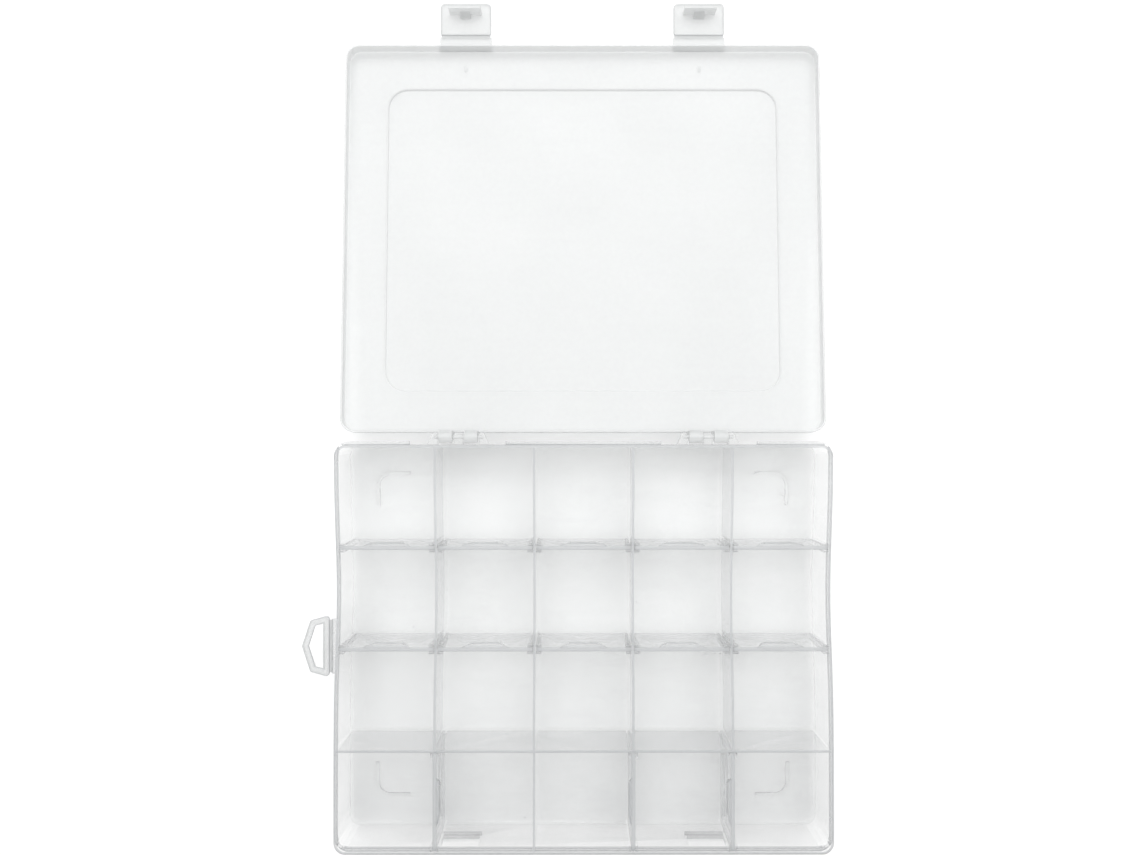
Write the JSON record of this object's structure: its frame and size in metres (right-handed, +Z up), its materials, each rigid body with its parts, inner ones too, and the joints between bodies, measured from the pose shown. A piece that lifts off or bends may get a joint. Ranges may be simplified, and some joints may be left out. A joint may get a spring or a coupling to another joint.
{
  "type": "parts sorting tray",
  "caption": "Flat translucent box with a hinged lid, snap latches, a side hang loop and a grid of compartments with lift-out dividers.",
  "frame": {"origin": "centre of the flat underside of the tray's floor, inside the ring of its feet", "axes": "+Z up out of the compartments, +Y towards the hinged rear side, +X to the right when seen from the latch side"},
  "size_m": [0.255, 0.4202, 0.0392],
  "materials": {
    "tray_plastic": "translucent milky polypropylene, satin",
    "lid_plastic": "translucent milky polypropylene, satin",
    "divider_plastic": "translucent milky polypropylene, satin",
    "fitting_plastic": "translucent milky polypropylene, satin"
  },
  "bodies": {
    "tray": {"tray": "tray_plastic", "hang_loop_film": "fitting_plastic"},
    "lid": {"lid": "lid_plastic", "latch_left_film": "fitting_plastic", "latch_right_film": "fitting_plastic"},
    "latch_left": {"latch_left": "fitting_plastic"},
    "latch_right": {"latch_right": "fitting_plastic"},
    "hang_loop": {"hang_loop": "fitting_plastic"},
    "divider_rear_1": {"divider_rear_1": "divider_plastic"},
    "divider_rear_2": {"divider_rear_2": "divider_plastic"},
    "divider_rear_3": {"divider_rear_3": "divider_plastic"},
    "divider_rear_4": {"divider_rear_4": "divider_plastic"},
    "divider_rear_5": {"divider_rear_5": "divider_plastic"},
    "divider_middle_1": {"divider_middle_1": "divider_plastic"},
    "divider_middle_2": {"divider_middle_2": "divider_plastic"},
    "divider_middle_3": {"divider_middle_3": "divider_plastic"},
    "divider_middle_4": {"divider_middle_4": "divider_plastic"},
    "divider_middle_5": {"divider_middle_5": "divider_plastic"},
    "divider_front_1": {"divider_front_1": "divider_plastic"},
    "divider_front_2": {"divider_front_2": "divider_plastic"},
    "divider_front_3": {"divider_front_3": "divider_plastic"}
  },
  "joints": [
    {"name": "lid_hinge", "type": "hinge", "parent": "tray", "child": "lid", "pos_m": [0, 0.10055, 0.0263], "axis": [-1, 0, 0], "range_deg": [-183.8, 0]},
    {"name": "latch_left_fold", "type": "hinge", "parent": "lid", "child": "latch_left", "pos_m": [-0.0595, 0.30509, -0.00021], "axis": [-1, 0, 0], "range_deg": [-86.2, 3.8]},
    {"name": "latch_right_fold", "type": "hinge", "parent": "lid", "child": "latch_right", "pos_m": [0.0595, 0.30509, -0.00021], "axis": [-1, 0, 0], "range_deg": [-86.2, 3.8]},
    {"name": "hang_loop_fold", "type": "hinge", "parent": "tray", "child": "hang_loop", "pos_m": [-0.1215, 0, 0.02955], "axis": [0, 1, 0], "range_deg": [-90, 90]},
    {"name": "divider_rear_1_lift", "type": "slide", "parent": "tray", "child": "divider_rear_1", "axis": [0, 0, 1], "range_m": [0, 0.042]},
    {"name": "divider_rear_2_lift", "type": "slide", "parent": "tray", "child": "divider_rear_2", "axis": [0, 0, 1], "range_m": [0, 0.042]},
    {"name": "divider_rear_3_lift", "type": "slide", "parent": "tray", "child": "divider_rear_3", "axis": [0, 0, 1], "range_m": [0, 0.042]},
    {"name": "divider_rear_4_lift", "type": "slide", "parent": "tray", "child": "divider_rear_4", "axis": [0, 0, 1], "range_m": [0, 0.042]},
    {"name": "divider_rear_5_lift", "type": "slide", "parent": "tray", "child": "divider_rear_5", "axis": [0, 0, 1], "range_m": [0, 0.042]},
    {"name": "divider_middle_1_lift", "type": "slide", "parent": "tray", "child": "divider_middle_1", "axis": [0, 0, 1], "range_m": [0, 0.042]},
    {"name": "divider_middle_2_lift", "type": "slide", "parent": "tray", "child": "divider_middle_2", "axis": [0, 0, 1], "range_m": [0, 0.042]},
    {"name": "divider_middle_3_lift", "type": "slide", "parent": "tray", "child": "divider_middle_3", "axis": [0, 0, 1], "range_m": [0, 0.042]},
    {"name": "divider_middle_4_lift", "type": "slide", "parent": "tray", "child": "divider_middle_4", "axis": [0, 0, 1], "range_m": [0, 0.042]},
    {"name": "divider_middle_5_lift", "type": "slide", "parent": "tray", "child": "divider_middle_5", "axis": [0, 0, 1], "range_m": [0, 0.042]},
    {"name": "divider_front_1_lift", "type": "slide", "parent": "tray", "child": "divider_front_1", "axis": [0, 0, 1], "range_m": [0, 0.042]},
    {"name": "divider_front_2_lift", "type": "slide", "parent": "tray", "child": "divider_front_2", "axis": [0, 0, 1], "range_m": [0, 0.042]},
    {"name": "divider_front_3_lift", "type": "slide", "parent": "tray", "child": "divider_front_3", "axis": [0, 0, 1], "range_m": [0, 0.042]}
  ]
}
